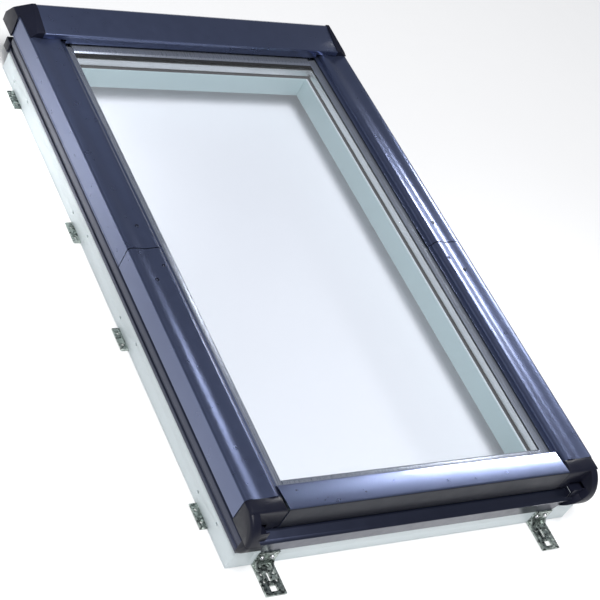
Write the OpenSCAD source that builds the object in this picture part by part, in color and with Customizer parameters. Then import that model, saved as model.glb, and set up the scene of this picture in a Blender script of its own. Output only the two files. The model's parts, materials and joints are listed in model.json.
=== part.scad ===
// Centre-pivot roof window lying flat: X is its width, +Y is up the roof slope,
// +Z is the weather side. The origin is at the middle of the frame's underside.

/* [Frame] */
// Outer width of the timber frame
frame_w = 740; // [700:5:900]
// Outer length of the timber frame, down the slope
frame_l = 1180; // [1080:5:1420]
// Thickness of the frame timber, seen from above
frame_t = 40; // [36:1:46]
// Height of the side and top frame timbers
frame_h = 85; // [80:1:88]
// Height of the bottom frame timber
frame_bottom_h = 68; // [60:1:70]
// Height of the bare outer wall below the flashing rail
wall_h = 44; // [40:1:48]
// Depth of the lining groove round the room side
lining_depth = 6; // [4:0.5:8]
// Width of the lining groove
lining_w = 7; // [5:0.5:10]
// Height of the lining groove above the underside
lining_z = 8; // [6:1:12]
// Diameter of the pilot holes in the outer walls
pilot_d = 6; // [4:0.5:7]
// Depth of the pilot holes
pilot_depth = 14; // [8:1:20]
// Height of the lower row of pilot holes
pilot_low_z = 18; // [15:1:20]
// Height of the upper row of pilot holes
pilot_high_z = 29; // [27:1:34]

/* [Pivot] */
// Height of the pivot axis above the frame's underside
pivot_z = 129; // [128:0.5:129.5]
// Largest opening angle of the sash
open_max = 145; // [120:1:145]
// Mean radius of the curved hinge track
track_r = 44; // [42:0.5:46]
// Radial width of the curved hinge track
track_w = 8; // [6:0.5:9]
// How far the track stands out of its plate
track_h = 10; // [9:0.5:10]
// Arc covered by the hinge shoe
shoe_arc = 28; // [24:1:28]
// Radial thickness of the hinge shoe walls
shoe_wall = 4.6; // [4:0.2:5]
// Running clearance of the shoe on the track
shoe_fit = 0.2; // [0.1:0.05:0.3]
// Thickness of the hinge plates
hinge_plate = 3; // [2.5:0.5:3.5]
// Height of the screws through the hinge plates
hinge_screw_z = 62; // [60:1:64]
// Spacing of the hinge plate screws
hinge_screw_dy = 70; // [60:2:80]

/* [Sash] */
// Side gap between the frame and the sash
side_gap = 3; // [2.5:0.5:4]
// Gap between the bottom frame timber and the sash
bottom_gap = 12; // [11:0.5:14]
// Gap between the top frame timber and the sash
top_gap = 10; // [6:0.5:14]
// Width of the side sash timbers
sash_t = 47; // [45:1:52]
// Width of the bottom and top sash timbers
sash_rail_t = 42; // [40:1:48]
// Height of the sash's room face above the underside
sash_z = 40; // [38:1:44]
// Height of the seat that carries the glass
seat_z = 88; // [87:0.5:89]
// Height of the outer sash leg above the glass seat
leg_h = 18; // [16:0.5:18]
// Thickness of the side sash legs
leg_t = 26; // [24:0.5:27]
// Thickness of the bottom and top sash legs
leg_end_t = 14; // [12:0.5:16]

/* [Glass unit] */
// Thickness of each pane
pane_t = 4; // [3:0.5:4]
// Gap between the panes
cavity = 16; // [14:1:16]
// Thickness of the bedding gasket under the glass unit
bed_t = 2; // [1.5:0.25:3]
// Edge clearance round the glass unit
glass_gap = 3; // [3:0.5:4]
// Width of the spacer bar
spacer_w = 7; // [6:0.5:8]
// Depth of the edge seal outside the spacer
seal_w = 5; // [4:0.5:6]
// Thickness of the glazing beads
bead_t = 3.2; // [2.5:0.1:3.5]
// Width of the side beads over the glass
bead_w = 15; // [14:0.5:16]
// Thickness of the bead gaskets
bead_seal = 2; // [1.5:0.25:2.5]

/* [Covers] */
// Sheet thickness of all covers
sheet = 1.2; // [1:0.1:1.4]
// Height of the side covers' ridge
cover_z = 134; // [133.5:0.5:135]
// Width of the side covers, ridge to inner edge
cover_w = 66; // [64:0.5:68]
// How far the ridge stands outside the frame
cover_over = 6; // [5:0.5:8]
// Height of the lower edge of the cover skirts
skirt_z = 87; // [86.5:0.5:90]
// Depth of the shallow valley along the covers
valley = 2.6; // [1:0.2:2.8]
// Width of the bevel at the ridge
ridge_bevel = 3; // [2:0.5:4]
// Height of the inner lip of the covers
lip_h = 12; // [11:0.5:12.5]
// Width of the ledge at the foot of the inner lip
ledge_w = 10.5; // [10:0.25:11]
// Distance of the cover joint below the pivot
joint_y = 21; // [20:0.5:24]
// Width of the gap at the cover joint
joint_gap = 2; // [1.5:0.25:3]
// Length of the plastic caps at the foot of the side covers
cap_l = 36; // [34:0.5:38]
// Radius of the caps' round outer cheek, seen from the side
cheek_r = 50; // [48:0.5:51]
// Thickness of that cheek at the ridge
cheek_t = 18; // [15:0.5:20]
// How far the cheek widens at the frame's foot
cheek_flare = 40; // [30:1:44]
// Length of the corners' shelf over the end of the side timber
shelf_l = 30; // [24:1:40]
// How far the shelf stays clear of the frame's seal
shelf_in = 0.5; // [0.2:0.1:12]
// Rounding of the caps' front top edge
cap_r = 9; // [6:0.5:10]
// Wall of the plastic parts
plastic_t = 2.4; // [2:0.1:3]

/* [Bottom and top covers] */
// Length of the sash bottom cover, down the slope
bottom_cover_l = 50; // [46:1:54]
// Height of the inner edge of the sash bottom cover
bottom_in_z = 127; // [125:0.5:128]
// Height of the outer edge of the sash bottom cover
bottom_out_z = 132.5; // [130:0.5:133.5]
// Height of the drip edge of the sash bottom cover
drip_z = 83; // [82.5:0.5:86]
// Distance from the frame's foot to the front of the sash bottom cover
front_in = 13; // [11:0.5:15]
// Height of the lip of the frame bottom cover
lip_z = 68; // [66:0.5:70]
// How far that lip stands out
lip_out = 7; // [5:0.5:9]
// Lower edge of the frame bottom cover
apron_z = 36; // [33:0.5:40]
// Height of the hood's front edge
hood_front_z = 146; // [144:0.5:148]
// Height of the hood's highest edge
hood_top_z = 158; // [156:0.5:162]
// Distance of the hood's front edge from the frame's top end
hood_front = 64; // [60:1:68]
// How far the hood's highest edge is past the frame's top end
hood_crest = 10; // [6:1:14]
// How far the hood's back reaches past the frame's top end
hood_back = 48; // [44:1:52]
// Depth of the hood's front return
hood_drop = 21; // [18:0.5:22]
// Height of the hood's rear lower edge
hood_rear_z = 82; // [78:1:86]
// Half width of the hood between its end caps
hood_end_in = 20; // [16:1:24]

/* [Mounting] */
// Width of the bottom mounting brackets
bracket_w = 40; // [36:1:46]
// Length of the bracket foot
bracket_l = 62; // [56:1:70]
// Height of the bracket leg on the frame
bracket_h = 34; // [30:1:35]
// Thickness of the brackets
bracket_t = 3; // [2.5:0.5:3]
// Distance of the brackets from the middle of the window
bracket_x = 300; // [280:5:310]
// Length of the side mounting plates
side_plate_l = 50; // [40:2:60]
// How far the side plates stand out
side_plate_out = 14; // [10:1:20]
// Thickness of the side plates
side_plate_t = 2.5; // [2:0.25:3]
// Diameter of the fixing holes in plates and brackets
fix_d = 5; // [4:0.5:6]

/* [Lock] */
// Pitch radius of the handle pinion
pinion_r = 11.46; // [11:0.02:12]
// Travel of the drive rod from unlocked to locked
rod_travel = 18; // [16:0.5:18]
// Number of pinion teeth
pinion_n = 12; // [10:1:14]
// Length of the handle lever
lever_l = 112; // [90:1:120]
// Width of the handle lever
lever_w = 16; // [14:1:20]
// Distance from the sash middle to each locking cam
cam_x = 200; // [160:5:230]
// Radius of the cam heads
cam_r = 5.5; // [5:0.25:6]
// Running clearance of the rod in its groove
rod_fit = 0.3; // [0.2:0.05:0.5]
// Running clearance of the spindle in its bores
spindle_fit = 0.08; // [0.05:0.01:0.1]

/* [Hidden] */
eps = 0.02;
hx = frame_w / 2;
hy = frame_l / 2;
fix = 0.3;                                  // assembly gap between fitted sheets
in_x = hx - frame_t;                        // inner face of the side frame timbers
sx = in_x - side_gap;                       // outer face of the sash
sxi = sx - sash_t;                          // inner face of the sash
sb = -hy + frame_t - 2 + bottom_gap;        // outer face of the sash, bottom
st = hy - frame_t - top_gap;                // outer face of the sash, top
sbi = sb + sash_rail_t;
sti = st - sash_rail_t;
leg_z = seat_z + leg_h;
gx = sx - leg_t - glass_gap;                // half width of the glass unit
gy0 = sb + leg_end_t + glass_gap;           // bottom edge of the glass unit
gy1 = st - leg_end_t - glass_gap - 10;      // top edge of the glass unit
z_in = seat_z + bed_t;                      // underside of the inner pane
z_sp = z_in + pane_t;
z_out = z_sp + cavity;                      // underside of the outer pane
z_top = z_out + pane_t;                     // weather face of the outer pane
bead_z = z_top + bead_seal;                 // underside of the beads
cov_out = hx + cover_over;                  // ridge of the side covers
cov_in = cov_out - cover_w;                 // inner edge of the side covers
ledge_x = cov_in - ledge_w;
ledge_z = cover_z - lip_h;
up0 = -joint_y + joint_gap / 2;             // lower end of the upper covers
lo1 = -joint_y - joint_gap / 2;             // upper end of the lower covers
lo0 = -hy + cap_l + 3;                      // lower end of the lower covers
front_y = -hy + front_in;                   // front of the sash bottom cover
bc_in = front_y + bottom_cover_l;           // inner edge of that cover
hood_x = hx - hood_end_in;
plate_ys = [495, 140, -115, -489];          // middles of the side plates
rail_in = hx - 7;                           // seat of the flashing rail

// A profile given in (y, z), drawn from x0 to x1
module along_x(x0, x1) {
  translate([x0, 0, 0]) rotate([90, 0, 90]) linear_extrude(x1 - x0) children();
}
// A profile given in (x, z), drawn from y0 to y1
module along_y(y0, y1) {
  translate([0, y1, 0]) rotate([90, 0, 0]) linear_extrude(y1 - y0) children();
}
module screw(head_r, head_h, shank_r, shank_l) {
  difference() {
    cylinder(r1 = head_r, r2 = head_r * 0.78, h = head_h, $fn = 48);
    translate([0, 0, head_h - head_h / 2]) cylinder(r = head_r * 0.42, h = head_h, $fn = 6);
  }
  translate([0, 0, -shank_l]) cylinder(r = shank_r, h = shank_l + eps, $fn = 32);
}
module hole(r, l) { translate([0, 0, -l]) cylinder(r = r, h = 2 * l, $fn = 32); }
module side(s) { if (s > 0) children(); else mirror([1, 0, 0]) children(); }

// ---- frame timbers, white painted ----
scr_head = 4.2; scr_h = 2.4; scr_r = 2; scr_l = 12; scr_fit = 0.15;
plate_scr_x = hx - 14;
module pilot(y, z) {
  translate([hx + eps, y, z]) rotate([0, -90, 0]) cylinder(d = pilot_d, h = pilot_depth, $fn = 24);
}
module side_timber() {
  difference() {
    along_y(-hy, hy) polygon([[in_x, 0], [hx, 0], [hx, wall_h], [rail_in, wall_h],
      [rail_in, frame_h], [in_x, frame_h]]);
    along_y(-hy + frame_t, hy - frame_t) translate([in_x - eps, lining_z])
      square([lining_depth + eps, lining_w]);
    for (y = plate_ys) {
      translate([plate_scr_x - pilot_depth, y - side_plate_l / 2 - fix, -eps])
        cube([hx, side_plate_l + 2 * fix, side_plate_t + eps]);
      for (k = [-1, 1]) translate([plate_scr_x, y + k * side_plate_l / 4, 0]) hole(scr_r + scr_fit, scr_l + scr_h);
      pilot(y + side_plate_l * 0.7, pilot_low_z);
      pilot(y - side_plate_l * 0.7, pilot_high_z);
    }
    translate([in_x - eps, 0, pivot_z]) rotate([0, 90, 0])
      cylinder(r = track_r + 16, h = hinge_plate + eps, $fn = 96);
    hinge_plate_shape(in_x - eps, hinge_plate + fix, fix);
    for (k = [-1, 1]) translate([in_x, k * hinge_screw_dy / 2, hinge_screw_z]) rotate([0, 90, 0])
      hole(scr_r + scr_fit, scr_l + scr_h);
  }
}
// The hinge's flat plate, standing on the inner face of the frame
module hinge_plate_shape(x, t, grow) {
  translate([x, 0, 0]) rotate([90, 0, 90]) linear_extrude(t)
    polygon([[-hinge_screw_dy / 2 - 12 - grow, hinge_screw_z - 10 - grow],
      [hinge_screw_dy / 2 + 12 + grow, hinge_screw_z - 10 - grow],
      [track_r + track_w, pivot_z], [-track_r - track_w, pivot_z]]);
}
block_ys = [33, 300, 505];
block_l = 30;
block_x = hx - 32;
module cross_timber(h, y0, y1, top) {
  difference() {
    along_x(-in_x + fix / 10, in_x - fix / 10) polygon([[y0, 0], [y1, 0], [y1, h], [y0, h]]);
    along_x(-in_x, in_x) translate([top ? y0 - eps : y1 - lining_depth, lining_z])
      square([lining_depth + eps, lining_w]);
    if (!top) {
      for (s = [-1, 1], k = [-1, 1]) translate([s * bracket_x + k * bracket_w / 4, y0, bracket_h * 0.62])
        rotate([90, 0, 0]) hole(scr_r + scr_fit, scr_l + scr_h);
      for (s = [-1, 1], k = [-1, 1]) translate([s * cam_x + strike_x + k * 8, y1, cam_z]) rotate([90, 0, 0])
        hole(scr_r + scr_fit, scr_l);
    }
  }
}
module frame_left() { color("white") side(-1) side_timber(); }
module frame_right() { color("white") side(1) side_timber(); }
module frame_top() { color("white") cross_timber(frame_h, hy - frame_t, hy, true); }
module frame_bottom() {
  color("white") cross_timber(frame_bottom_h, -hy, -hy + frame_t - 2, false);
}

// ---- flashing rails along both sides, dark aluminium ----
rail_top = frame_h + 10;
bead_out = 3;
module rail() {
  along_y(-hy, hy) difference() {
    polygon([[rail_in + fix / 10, wall_h + fix / 10], [hx + 1.5, wall_h + fix / 10], [hx + 1.5, wall_h + 8],
      [hx - 1, wall_h + 9], [hx - 1, wall_h + 17], [hx + bead_out, wall_h + 20],
      [hx + bead_out, wall_h + 31], [hx, wall_h + 36], [hx, rail_top], [rail_in + fix / 10, rail_top]]);
    translate([rail_in + fix / 10 + sheet, wall_h + sheet * 2]) square([hx - rail_in - 4 * sheet, 14]);
    translate([rail_in + fix / 10 + sheet, wall_h + 22]) square([hx - rail_in - 2 * sheet, 24]);
  }
}
module flashing_rail_left() { color([0.13, 0.15, 0.22]) side(-1) rail(); }
module flashing_rail_right() { color([0.13, 0.15, 0.22]) side(1) rail(); }
clip_l = 20;
module clip() {
  difference() {
    translate([rail_in - 6, hy, wall_h - 4]) cube([hx + bead_out + 2 - rail_in + 6, clip_l, 24]);
    translate([rail_in, hy + plastic_t, wall_h - 4 + plastic_t])
      cube([hx + bead_out - rail_in - plastic_t, clip_l, 24 - 2 * plastic_t]);
  }
}
module rail_clips() { color([0.06, 0.06, 0.08]) for (s = [-1, 1]) side(s) clip(); }

// ---- frame seals ----
seal_t = 5;
seal_bulb = 2.4;
module side_seal() {
  for (r = [[-hy + frame_t, -track_r - 20], [track_r + 20, hy - frame_t]])
    along_y(r[0], r[1]) {
      translate([in_x + 1, frame_h]) square([seal_t * 2, sheet * 1.5]);
      difference() {
        translate([in_x + seal_t, frame_h + sheet * 1.5 + seal_bulb - 0.4]) circle(r = seal_bulb, $fn = 40);
        translate([in_x + seal_t, frame_h + sheet * 1.5 + seal_bulb - 0.4]) circle(r = seal_bulb - 1, $fn = 40);
        translate([in_x - seal_t, frame_h - seal_t]) square([seal_t * 4, seal_t + sheet]);
      }
    }
}
module frame_seals() {
  color([0.08, 0.08, 0.08]) for (s = [-1, 1]) side(s) side_seal();
  y = -hy + frame_t - 2;
  color([0.08, 0.08, 0.08]) along_x(-in_x + 2, in_x - 2) {
    translate([y - seal_t * 2 - 1, frame_bottom_h]) square([seal_t * 2, sheet * 1.5]);
    difference() {
      translate([y - seal_t - 1, frame_bottom_h + sheet * 1.5 + seal_bulb - 0.4]) circle(r = seal_bulb, $fn = 40);
      translate([y - seal_t - 1, frame_bottom_h + sheet * 1.5 + seal_bulb - 0.4]) circle(r = seal_bulb - 1, $fn = 40);
      translate([y - seal_t * 3, frame_bottom_h - seal_t]) square([seal_t * 4, seal_t + sheet]);
    }
  }
}

// ---- frame bottom cover: sloping lip and apron ----
lip_y = -hy - lip_out;
ap_y = -hy - sheet - fix;
in_end = -hy + frame_t - seal_t * 2 - 8;
top_z = drip_z - 3.6;
module bottom_sheet() {
  polygon([[ap_y, apron_z], [ap_y, lip_z - 5], [lip_y, lip_z - 1], [lip_y, lip_z + 1.5],
    [front_y - 3, top_z], [in_end, top_z + 1], [in_end, frame_bottom_h + fix], [in_end - sheet, frame_bottom_h + fix],
    [in_end - sheet, top_z + 1 - sheet], [front_y - 3, top_z - sheet], [lip_y + sheet, lip_z + 1.2 - sheet / 2],
    [lip_y + sheet, lip_z - 0.4], [-hy - fix, lip_z - 4.3], [-hy - fix, apron_z]]);
}
module frame_bottom_cover() {
  color([0.1, 0.11, 0.16]) difference() {
    union() {
      along_x(-hx, hx) intersection() {
        bottom_sheet();
        translate([-hy - fix - 40, 0]) square([40, cover_z]);
      }
      along_x(-in_x + fix, in_x - fix) bottom_sheet();
    }
    for (s = [-1, 1]) side(s) along_y(-hy - 40, -hy) cheek_front(-fix, 0, cover_z);
  }
}
module frame_bottom_support() {
  color([0.25, 0.25, 0.27]) along_x(-in_x + 4, in_x - 4) polygon([[-hy + 2, frame_bottom_h],
    [in_end - sheet - 1, frame_bottom_h], [in_end - sheet - 1, top_z - sheet - fix], [front_y, top_z - sheet - 2 * fix],
    [-hy + 2, lip_z + 4]]);
}
// Outline of the round cheek, seen from the side; the sash's cap is its upper part and the frame's corner its foot
cheek_y = -hy + cap_l - 3;
module cheek_side(g) { translate([cheek_y, drip_z + 1]) circle(r = cheek_r - g, $fn = 96); }
// The same cheek seen from the front: narrow at the ridge and flared at the foot
module cheek_front(g, z0, z1) {
  x1 = cov_out + 0.4 - g;
  x0 = x1 - cheek_t + g;
  z_flare = cover_z - cheek_t * 2;
  slope = cheek_flare / (z_flare - apron_z);
  polygon([[x0 + g - slope * (z_flare - z0), z0], [x1, z0], [x1, z1], [x0 + g, z1],
    if (z1 > z_flare) [x0 + g, z_flare], if (z1 <= z_flare) [x0 + g - slope * (z_flare - z1), z1]]);
}
// Plastic corners that close the frame's foot at both ends of the apron
corner_z = drip_z - 0.6;
module corner_body(g) {
  intersection() {
    along_x(0, cov_out) cheek_side(g);
    along_y(cheek_y - cheek_r, -hy - fix + (g > 0 ? 1 : 0)) cheek_front(g, apron_z + g, corner_z - g);
  }
}
module corner() {
  difference() {
    corner_body(0);
    corner_body(plastic_t);
  }
  translate([in_x + fix, -hy - fix - plastic_t, lip_z + 6.2])
    cube([frame_t + bead_out - fix, plastic_t, rail_top - lip_z - 6.2]);
  // shelf over the timber's end, seen below the sash's cap
  translate([in_x + shelf_in, -hy - fix - plastic_t, frame_h + fix])
    cube([rail_in - in_x - shelf_in - fix, shelf_l, plastic_t]);
}
module frame_corners() { color([0.06, 0.06, 0.08]) for (s = [-1, 1]) side(s) corner(); }

// ---- hood over the top end ----
hf_y = hy - hood_front;
hc_y = hy + hood_crest;
hb_y = hy + hood_back;
module hood() {
  t = sheet;
  color([0.2, 0.23, 0.35]) difference() {
    along_x(-hood_x, hood_x) polygon([[hf_y + 8, hood_front_z - hood_drop], [hf_y, hood_front_z - hood_drop], [hf_y, hood_front_z - 1],
      [hf_y + 1.5, hood_front_z], [hc_y - 4, hood_top_z], [hc_y + 2, hood_top_z - 3],
      [hb_y, hood_rear_z + 14], [hb_y, hood_rear_z], [hb_y - t, hood_rear_z], [hb_y - t, hood_rear_z + 13.6],
      [hc_y + 1.2, hood_top_z - 4.2], [hc_y - 4.2, hood_top_z - t], [hf_y + 1.8, hood_front_z - t],
      [hf_y + t, hood_front_z - 1.8], [hf_y + t, hood_front_z - hood_drop + t],
      [hf_y + 8, hood_front_z - hood_drop + t]]);
    for (s = [-1, 1]) side(s) translate([ledge_x, hf_y - 1, hood_front_z - hood_drop - 1])
      cube([hood_x, 12, cover_z + fix - hood_front_z + hood_drop + 1]);
  }
}
// Carriers between the frame's top timber and the hood
hs_t = 24;
module hood_support() {
  color([0.25, 0.25, 0.27]) for (x = [-250, 0, 250]) along_x(x - hs_t / 2, x + hs_t / 2)
    polygon([[hy - frame_t + 4, frame_h], [hy - 2, frame_h], [hb_y - sheet - 2, frame_h],
      [hb_y - sheet - fix, frame_h + 2], [hb_y - sheet - fix, hood_rear_z + 13],
      [hc_y + 0.8, hood_top_z - 5], [hc_y - 5, hood_top_z - sheet - fix],
      [hf_y + 14, hood_front_z - sheet - fix + 0.16 * 10], [hf_y + 14, hood_front_z - 10]]);
}
// Shaped plastic end of the hood, wrapping the foot of the flashing rail
module cap_outer(g) {
  polygon([[cov_out + 4 - g, hood_rear_z + g], [cov_out + 4 - g, cover_z - 4],
    [cov_out + 1 - g, cover_z + 1 - g / 2], [hood_x + 6 - g / 2, hood_top_z - g],
    [hood_x - 2, hood_top_z - g / 2 + 0.4], [hood_x - 2, hood_rear_z + g]]);
}
module cap_side(g) {
  polygon([[hf_y + g, cover_z + 0.4], [hf_y + g, hood_front_z + 1 - g], [hc_y - 2, hood_top_z + 3 - g],
    [hc_y + 16, hood_top_z - 22 - g], [hb_y + 2 - g, hood_rear_z + 20], [hb_y + 2 - g, hood_rear_z - 4],
    [hy + fix, hood_rear_z - 4], [hy + fix, cover_z + 0.4]]);
}
module hood_cap() {
  difference() {
    intersection() {
      along_y(hf_y, hb_y + 2) cap_outer(0);
      along_x(hood_x - 4, cov_out + 8) cap_side(0);
    }
    intersection() {
      along_y(hf_y - 5, hb_y + 6) cap_outer(plastic_t);
      along_x(hood_x + fix, cov_out + 8) cap_side(plastic_t);
    }
    along_x(hood_x - 12, hood_x + fix) polygon([[hf_y - 1, hood_rear_z - 10], [hf_y - 1, hood_front_z + fix],
      [hf_y + 1, hood_front_z + fix], [hc_y - 4, hood_top_z + fix], [hc_y + 2.4, hood_top_z - 3 + fix],
      [hb_y + fix, hood_rear_z + 14], [hb_y + fix, hood_rear_z - 10]]);
    along_y(hf_y - 1, hy) translate([hood_x - 12, 0]) square([cov_out - hood_x + 12 + fix, cover_z + fix]);
  }
}
module hood_cap_left() { color([0.12, 0.13, 0.2]) side(-1) hood_cap(); }
module hood_cap_right() { color([0.12, 0.13, 0.2]) side(1) hood_cap(); }

// ---- side covers ----
function cover_h(x) = lookup(x - cov_in, [[3.4, cover_z - 0.6], [cover_w * 0.2, cover_z - 0.8],
  [cover_w * 0.4, cover_z - valley], [cover_w * 0.62, cover_z - valley + 0.4], [cover_w - ridge_bevel * 3, cover_z]]);
function seat_h(x) = max(cover_h(x - scr_head), cover_h(x + scr_head));
function cover_pts(t) = [
  [ledge_x, ledge_z], [cov_in - 1, ledge_z + 0.6], [cov_in + 0.6, cover_z - 3.4], [cov_in + 3.4, cover_z - 0.6],
  [cov_in + cover_w * 0.2, cover_z - 0.8], [cov_in + cover_w * 0.4, cover_z - valley],
  [cov_in + cover_w * 0.62, cover_z - valley + 0.4], [cov_out - ridge_bevel * 3, cover_z],
  [cov_out - ridge_bevel, cover_z - 0.8], [cov_out, cover_z - ridge_bevel - 1], [cov_out, skirt_z],
  [cov_out - t, skirt_z], [cov_out - t, cover_z - ridge_bevel - 1.5], [cov_out - ridge_bevel - t * 0.6, cover_z - 0.8 - t],
  [cov_out - ridge_bevel * 3, cover_z - t], [cov_in + cover_w * 0.62, cover_z - valley + 0.4 - t],
  [cov_in + cover_w * 0.4, cover_z - valley - t], [cov_in + cover_w * 0.2, cover_z - 0.8 - t],
  [cov_in + 3.9, cover_z - 0.6 - t], [cov_in + 0.6 + t, cover_z - 3.9], [cov_in - 1 + t, ledge_z + 0.6 - t * 0.9],
  [ledge_x, ledge_z - t]];
module cover_hole(x, y) { translate([x, y, cover_z]) hole(scr_r + 2 * scr_fit, 8); }
up_screw = [hx - 32, 33];
lo_screws = [[hx - 47, -63], [hx - 22.5, -93]];
module upper_cover() {
  difference() {
    union() {
      along_y(up0, hy - fix) polygon(cover_pts(sheet));
      along_y(up0, hf_y) translate([cov_out - 0.6, skirt_z]) circle(r = sheet, $fn = 24);
    }
    cover_hole(up_screw[0], up_screw[1]);
    along_y(hf_y - 12, hy + 1) translate([ledge_x - 2, ledge_z - 3]) square([cov_in - ledge_x + 2, 10]);
  }
}
module upper_cover_left() { color([0.24, 0.27, 0.4]) side(-1) upper_cover(); }
module upper_cover_right() { color([0.24, 0.27, 0.4]) side(1) upper_cover(); }
z_under = cover_z - valley - sheet;
module cover_blocks() {
  x0 = in_x + 2 * seal_t + 2;
  for (y = block_ys) difference() {
    union() {
      translate([x0, y - block_l / 2, frame_h]) cube([rail_in - 1 - x0, block_l, z_under - frame_h - fix]);
      if (y < track_r) translate([in_x + hinge_plate + 1, y - block_l / 2, z_under - 28])
        cube([x0 - in_x - hinge_plate, block_l, 28 - fix]);
    }
    translate([x0 - 1, y - block_l / 2 + 5, frame_h + 6]) cube([hx - x0, block_l - 10, 8]);
    translate([block_x, y, z_under]) hole(scr_r + scr_fit, scr_l);
  }
}
module upper_cover_blocks() { color([0.25, 0.25, 0.27]) for (s = [-1, 1]) side(s) cover_blocks(); }
module upper_cover_screws() {
  color("silver") for (s = [-1, 1]) side(s) translate([up_screw[0], up_screw[1], seat_h(up_screw[0])])
    screw(scr_head, scr_h, scr_r, scr_l);
}
module lower_cover() {
  difference() {
    along_y(lo0, lo1) polygon(cover_pts(sheet));
    for (p = lo_screws) cover_hole(p[0], p[1]);
    along_y(lo0 - 1, bc_in + 1) translate([ledge_x - 2, ledge_z - 3]) square([cov_in - 6.5 - ledge_x + 2, 10]);
  }
}
module lower_cover_left() { color([0.24, 0.27, 0.4]) side(-1) lower_cover(); }
module lower_cover_right() { color([0.24, 0.27, 0.4]) side(1) lower_cover(); }
sb_ys = [-78, -300, -520];
arm_z = frame_h + 21;
lip_gap = 0.8;                              // between a cover's inner lip and the blocks under it
module lower_blocks() {
  x0 = cov_in + sheet + lip_gap;
  for (y = sb_ys) difference() {
    union() {
      translate([x0, y - 26, leg_z]) cube([sx - 1 - x0, 52, z_under - leg_z - fix]);
      translate([sx - 2, y - 26, arm_z + 4]) cube([hx - sx - 8, 52, z_under - arm_z - 4 - fix]);
    }
    for (p = lo_screws) translate([p[0], p[1], z_under]) hole(scr_r + scr_fit, scr_l);
    translate([x0 + 3, y - 20, leg_z + 5]) cube([sx - x0 - 8, 12, 10]);
  }
}
module lower_cover_blocks() { color([0.25, 0.25, 0.27]) for (s = [-1, 1]) side(s) lower_blocks(); }
module lower_cover_screws() {
  color("silver") for (s = [-1, 1], p = lo_screws) side(s)
    translate([p[0], p[1], seat_h(p[0])]) screw(scr_head, scr_h, scr_r, scr_l);
}
// Plastic caps at the foot of the side covers: a sunk front face beside the round cheek
cap_y0 = front_y;
module cap_profile(g) {
  polygon([[cov_in - 7 + g, drip_z + g], [cov_in - 7 + g, cover_z - 8], [cov_in - 1 + g, cover_z - 1 - g],
    [cov_out - ridge_bevel * 3, cover_z + 0.4 - g], [cov_out - ridge_bevel, cover_z - 0.4 - g],
    [cov_out + 0.4 - g, cover_z - ridge_bevel - 1], [cov_out + 0.4 - g, drip_z + g]]);
}
module cap_round(g) {
  y0 = cap_y0 + g;
  z1 = cover_z + 1 - g;
  translate([y0 + cap_r, drip_z - 4]) square([cap_l + 10, z1 - drip_z + 4]);
  translate([y0, drip_z - 4]) square([cap_r + 1, z1 - drip_z + 4 - cap_r]);
  translate([y0 + cap_r, z1 - cap_r]) circle(r = cap_r, $fn = 64);
}
module cap_body(g) {
  y1 = lo0 - fix + (g > 0 ? 2 : 0);
  intersection() {
    along_y(cap_y0, y1) cap_profile(g);
    along_x(cov_in - 10, cov_out + 4) cap_round(g);
  }
  intersection() {
    along_x(0, cov_out + 4) cheek_side(g);
    along_y(cheek_y - cheek_r, y1) intersection() {
      cap_profile(g);
      cheek_front(g, drip_z + g, cover_z + 1);
    }
  }
}
module cover_cap() {
  difference() {
    cap_body(0);
    difference() {
      cap_body(plastic_t);
      translate([cov_in, cap_y0, drip_z]) cube([8, cap_l + 2, cover_z - drip_z]);
    }
    translate([cov_in - 10, front_y - 1, drip_z - 10]) cube([12, cap_l, 13]);
    translate([in_x - 2 * fix, -hy - plastic_t - 2 * fix, drip_z - 5])
      cube([hx + bead_out + 0.7 - in_x + 2 * fix, cap_l + 10, rail_top + 6.5 - drip_z]);
  }
}
module cover_cap_left() { color([0.06, 0.06, 0.08]) side(-1) cover_cap(); }
module cover_cap_right() { color([0.06, 0.06, 0.08]) side(1) cover_cap(); }

// ---- sash timbers ----
module sash_side_profile() {
  polygon([[sxi, sash_z], [sx, sash_z], [sx, leg_z], [sx - leg_t, leg_z], [sx - leg_t, seat_z], [sxi, seat_z]]);
}
pocket_x = sx - 12;
module sash_timber() {
  difference() {
    along_y(sb, st) sash_side_profile();
    translate([pocket_x, 0, pivot_z]) rotate([0, 90, 0]) cylinder(r = track_r + 10, h = 20, $fn = 128);
    translate([pocket_x - hinge_plate, 0, 0]) shoe_arm_shape(hinge_plate + 14, fix);
    for (p = shoe_screws) translate([pocket_x - hinge_plate, p[0], p[1]]) rotate([0, 90, 0])
      hole(scr_r + scr_fit, scr_l + 4);
    for (y = sb_ys) translate([lo_screws[0][0], y, leg_z]) hole(scr_r + scr_fit, scr_l);
  }
}
module sash_left() { color("white") side(-1) sash_timber(); }
module sash_right() { color("white") side(1) sash_timber(); }
module sash_top() {
  color("white") along_x(-sxi, sxi) polygon([[sti, sash_z], [st, sash_z], [st, leg_z],
    [gy1 + glass_gap, leg_z], [gy1 + glass_gap, seat_z], [sti, seat_z]]);
}
cam_z = 64;
gear_z0 = 50;
gear_z1 = 78;
gear_x = 34;
gear_y = sb + 20;
rod_y1 = sb + 6.2;
rod_h = 12;
plate_z = 24;
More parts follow.
